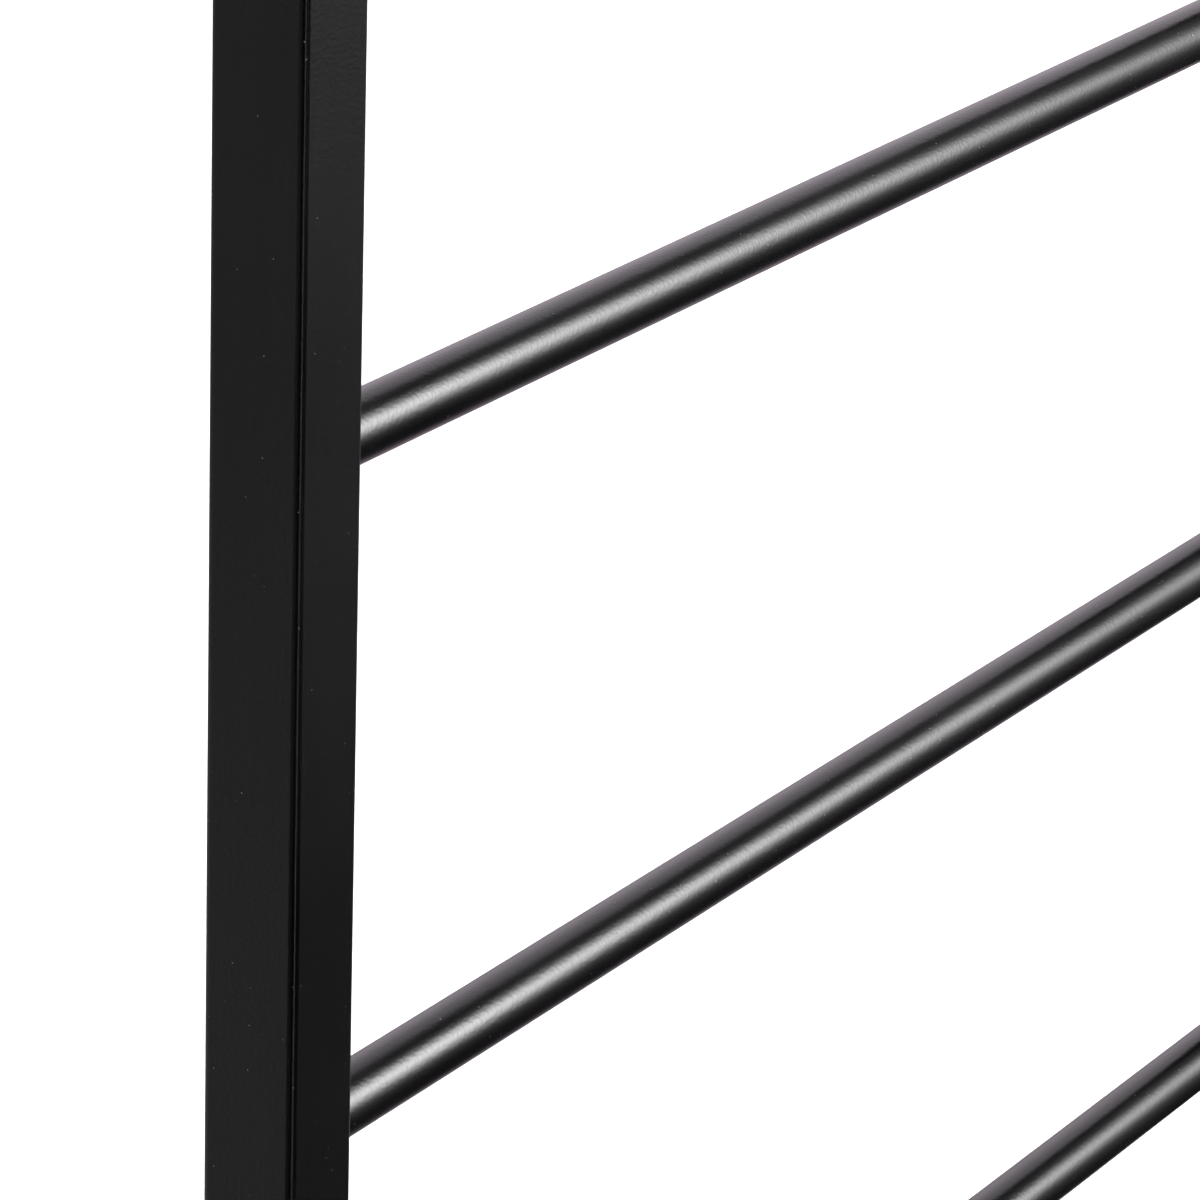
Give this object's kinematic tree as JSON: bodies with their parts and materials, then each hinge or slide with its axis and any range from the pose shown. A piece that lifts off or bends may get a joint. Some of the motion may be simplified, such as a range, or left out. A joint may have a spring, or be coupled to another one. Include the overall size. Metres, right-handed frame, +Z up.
{
  "type": "towel warmer rack",
  "caption": "Free-standing electric towel warmer: round heated bars between two square uprights on foot tubes, with a rocker switch and a cable gland.",
  "frame": {"origin": "on the floor, midway between the uprights and midway along the feet", "axes": "+Z up, +X along the bars towards the upright with the switch, +Y towards the back"},
  "size_m": [0.6, 0.35, 0.988],
  "materials": {
    "powder_coat": "satin black powder coat with a fine grain",
    "cap_plastic": "fine matt moulded black",
    "pad_rubber": "matt black",
    "zinc": "bright zinc plate",
    "brass": "plain",
    "cable_silicone": "matt cream silicone",
    "lead_insulation": "brown silicone",
    "switch_plastic": "semi-gloss black"
  },
  "bodies": {
    "rack": {"left_upright": "powder_coat", "right_upright": "powder_coat", "bar_1": "powder_coat", "bar_2": "powder_coat", "bar_3": "powder_coat", "bar_4": "powder_coat", "bar_5": "powder_coat", "bar_6": "powder_coat", "left_foot_tube": "powder_coat", "right_foot_tube": "powder_coat", "left_foot_spigot": "powder_coat", "right_foot_spigot": "powder_coat", "left_top_cap": "cap_plastic", "right_top_cap": "cap_plastic", "left_foot_front_cap": "cap_plastic", "left_foot_rear_cap": "cap_plastic", "right_foot_front_cap": "cap_plastic", "right_foot_rear_cap": "cap_plastic", "gland_body": "cap_plastic", "gland_locknut": "cap_plastic", "gland_dome_nut": "cap_plastic", "left_foot_front_pad": "pad_rubber", "left_foot_rear_pad": "pad_rubber", "right_foot_front_pad": "pad_rubber", "right_foot_rear_pad": "pad_rubber", "gland_seal": "pad_rubber", "foot_screws": "zinc", "foot_weld_nuts": "zinc", "wall_mount_inserts": "zinc", "cable_splice": "zinc", "thermal_cutout": "zinc", "neutral_splice": "zinc", "earth_screw": "zinc", "earth_star_washer": "zinc", "earth_nut": "zinc", "switch_terminals": "brass", "earth_ring_terminal": "brass", "heating_cable": "cable_silicone", "cutout_sleeve": "cable_silicone", "cutout_lower_lead": "lead_insulation", "cutout_upper_lead": "lead_insulation", "switch_housing": "switch_plastic"},
    "rocker": {"switch_rocker": "switch_plastic"}
  },
  "joints": [
    {"name": "power_rocker", "type": "hinge", "parent": "rack", "child": "rocker", "pos_m": [0.2875, -0.0115, 0.215], "axis": [-1, 0, 0], "range_deg": [0, 20]}
  ]
}
